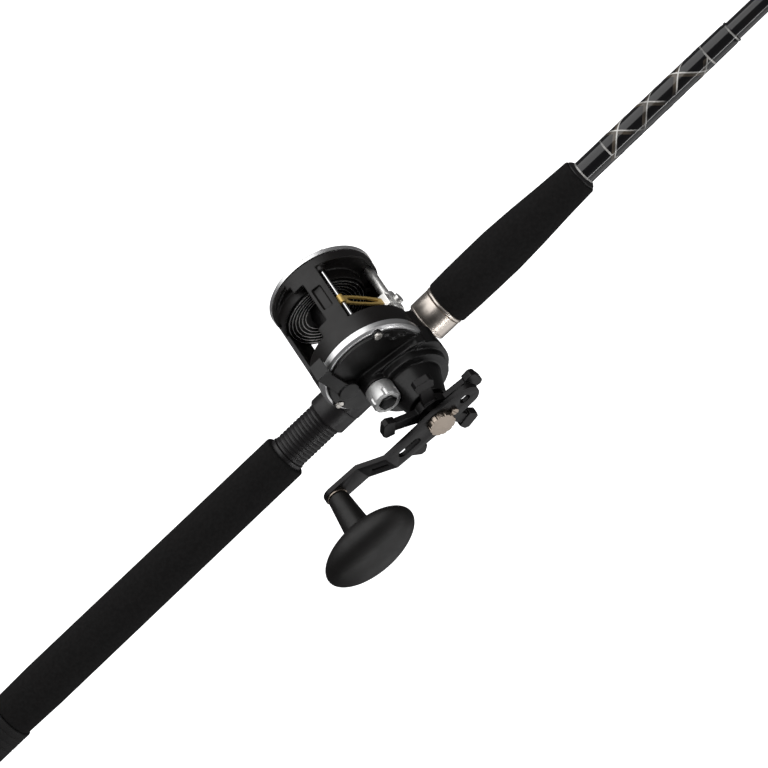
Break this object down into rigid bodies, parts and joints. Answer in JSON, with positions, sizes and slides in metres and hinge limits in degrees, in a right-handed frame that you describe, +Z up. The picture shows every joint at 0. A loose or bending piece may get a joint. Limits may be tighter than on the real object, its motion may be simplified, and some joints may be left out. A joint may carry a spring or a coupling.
{
  "type": "fishing rod and reel",
  "caption": "Boat fishing rod with foam grips, line guides and a star-drag multiplier reel with level wind, crank and knob.",
  "frame": {"origin": "centre of the rod's butt end face", "axes": "+X along the rod to the tip, +Z up through the reel, the crank on the -Y side"},
  "size_m": [1.981, 0.171, 0.1068],
  "materials": {
    "blank_graphite": "gloss",
    "wrap_epoxy": "gloss",
    "eva_foam": "matte",
    "butt_rubber": "matte",
    "seat_graphite": "satin",
    "arbor_foam": "matte",
    "hood_stainless": "satin",
    "guide_stainless": "polished",
    "ring_ceramic": "gloss",
    "frame_graphite": "satin",
    "foot_steel": "satin",
    "side_ring_steel": "polished",
    "screw_steel": "satin",
    "cap_chrome": "polished",
    "spool_aluminium": "satin",
    "shaft_steel": "satin",
    "gear_brass": "satin",
    "gear_plastic": "satin",
    "carriage_steel": "polished",
    "line_guide_gold": "satin",
    "star_aluminium": "satin",
    "nut_nickel": "satin",
    "knob_rubber": "matte"
  },
  "bodies": {
    "rod": {"rod_blank": "blank_graphite", "butt_wrap": "wrap_epoxy", "guide_wraps": "wrap_epoxy", "rear_grip": "eva_foam", "foregrip": "eva_foam", "butt_cap": "butt_rubber", "reel_seat": "seat_graphite", "winding_check": "seat_graphite", "seat_arbors": "arbor_foam", "front_hood": "hood_stainless", "seat_trim_ring": "hood_stainless", "tip_top": "guide_stainless", "guide_frame_1": "guide_stainless", "guide_frame_2": "guide_stainless", "guide_frame_3": "guide_stainless", "guide_frame_4": "guide_stainless", "guide_frame_5": "guide_stainless", "guide_rings": "ring_ceramic", "reel_frame": "frame_graphite", "left_side_plate": "frame_graphite", "right_side_plate": "frame_graphite", "reel_foot": "foot_steel", "foot_screws": "foot_steel", "left_side_ring": "side_ring_steel", "right_side_ring": "side_ring_steel", "plate_screws": "screw_steel", "level_wind_tube": "cap_chrome", "guide_rod": "cap_chrome", "spool_bearings": "shaft_steel", "bridge_plate": "shaft_steel", "shaft_bushing": "gear_brass"},
    "seat_nut": {"seat_nut": "seat_graphite"},
    "moving_hood": {"moving_hood": "seat_graphite"},
    "crank": {"drive_shaft": "shaft_steel", "ratchet_wheel": "shaft_steel", "worm_drive_gear": "gear_plastic", "main_gear": "gear_brass", "drag_washers": "gear_plastic", "drag_sleeve": "shaft_steel", "spring_washers": "shaft_steel", "handle_arm": "star_aluminium", "handle_nut": "nut_nickel", "handle_lock_screw": "screw_steel", "knob_post": "nut_nickel"},
    "star": {"star_drag": "star_aluminium"},
    "knob": {"handle_knob": "knob_rubber"},
    "spool": {"spool": "spool_aluminium", "spool_shaft": "shaft_steel"},
    "yoke": {"clutch_yoke": "shaft_steel"},
    "pinion": {"pinion": "gear_brass"},
    "worm": {"worm_shaft": "shaft_steel", "worm_gear": "gear_plastic"},
    "carriage": {"line_guide_carriage": "carriage_steel", "line_guide": "line_guide_gold", "level_wind_pawl": "shaft_steel", "pawl_cap": "carriage_steel"},
    "clutch_lever": {"clutch_lever": "frame_graphite"},
    "tension_cap": {"tension_cap": "cap_chrome"},
    "click_button": {"click_button": "frame_graphite"},
    "pawl": {"anti_reverse_pawl": "shaft_steel"}
  },
  "joints": [
    {"name": "crank_spin", "type": "hinge", "parent": "rod", "child": "crank", "pos_m": [0.38378, -0.04, 0.03209], "axis": [0, 1, 0], "continuous": true},
    {"name": "spool_spin", "type": "hinge", "parent": "rod", "child": "spool", "pos_m": [0.369, 0, 0.051], "axis": [0, 1, 0], "continuous": true},
    {"name": "yoke_slide", "type": "slide", "parent": "rod", "child": "yoke", "axis": [0, -1, 0], "range_m": [0, 0.0022]},
    {"name": "pinion_spin", "type": "hinge", "parent": "yoke", "child": "pinion", "pos_m": [0.369, -0.04, 0.051], "axis": [0, 1, 0], "continuous": true},
    {"name": "worm_spin", "type": "hinge", "parent": "rod", "child": "worm", "pos_m": [0.40286, 0, 0.04131], "axis": [0, 1, 0], "continuous": true},
    {"name": "carriage_slide", "type": "slide", "parent": "rod", "child": "carriage", "axis": [0, 1, 0], "range_m": [-0.007, 0.02]},
    {"name": "star_turn", "type": "hinge", "parent": "crank", "child": "star", "pos_m": [0.38378, -0.072, 0.03209], "axis": [0, 1, 0], "range_deg": [-360, 90]},
    {"name": "knob_spin", "type": "hinge", "parent": "crank", "child": "knob", "pos_m": [0.30571, -0.1, 0.03659], "axis": [0, -1, 0], "continuous": true},
    {"name": "clutch_turn", "type": "hinge", "parent": "rod", "child": "clutch_lever", "pos_m": [0.3559, -0.038, 0.0607], "axis": [0, -1, 0], "range_deg": [0, 22.1]},
    {"name": "tension_turn", "type": "hinge", "parent": "rod", "child": "tension_cap", "pos_m": [0.369, -0.052, 0.051], "axis": [0, 1, 0], "range_deg": [-360, 180]},
    {"name": "click_slide", "type": "slide", "parent": "rod", "child": "click_button", "axis": [0, 0, 1], "range_m": [0, 0.003]},
    {"name": "pawl_turn", "type": "hinge", "parent": "rod", "child": "pawl", "pos_m": [0.37791, -0.034, 0.04312], "axis": [0, -1, 0], "range_deg": [0, 12]},
    {"name": "hood_slide", "type": "slide", "parent": "rod", "child": "moving_hood", "axis": [-1, 0, 0], "range_m": [0, 0.014]},
    {"name": "nut_turn", "type": "hinge", "parent": "moving_hood", "child": "seat_nut", "pos_m": [0.323, 0, 0], "axis": [-1, 0, 0], "range_deg": [0, 1738.4]}
  ],
  "couplings": [
    {"joint": "spool_spin", "follows": "crank_spin", "ratio": -4},
    {"joint": "pinion_spin", "follows": "crank_spin", "ratio": -4},
    {"joint": "worm_spin", "follows": "crank_spin", "ratio": -3.4167},
    {"joint": "clutch_turn", "follows": "yoke_slide", "rad_per_m": 174.53},
    {"joint": "nut_turn", "follows": "hood_slide", "rad_per_m": 2166.6}
  ]
}
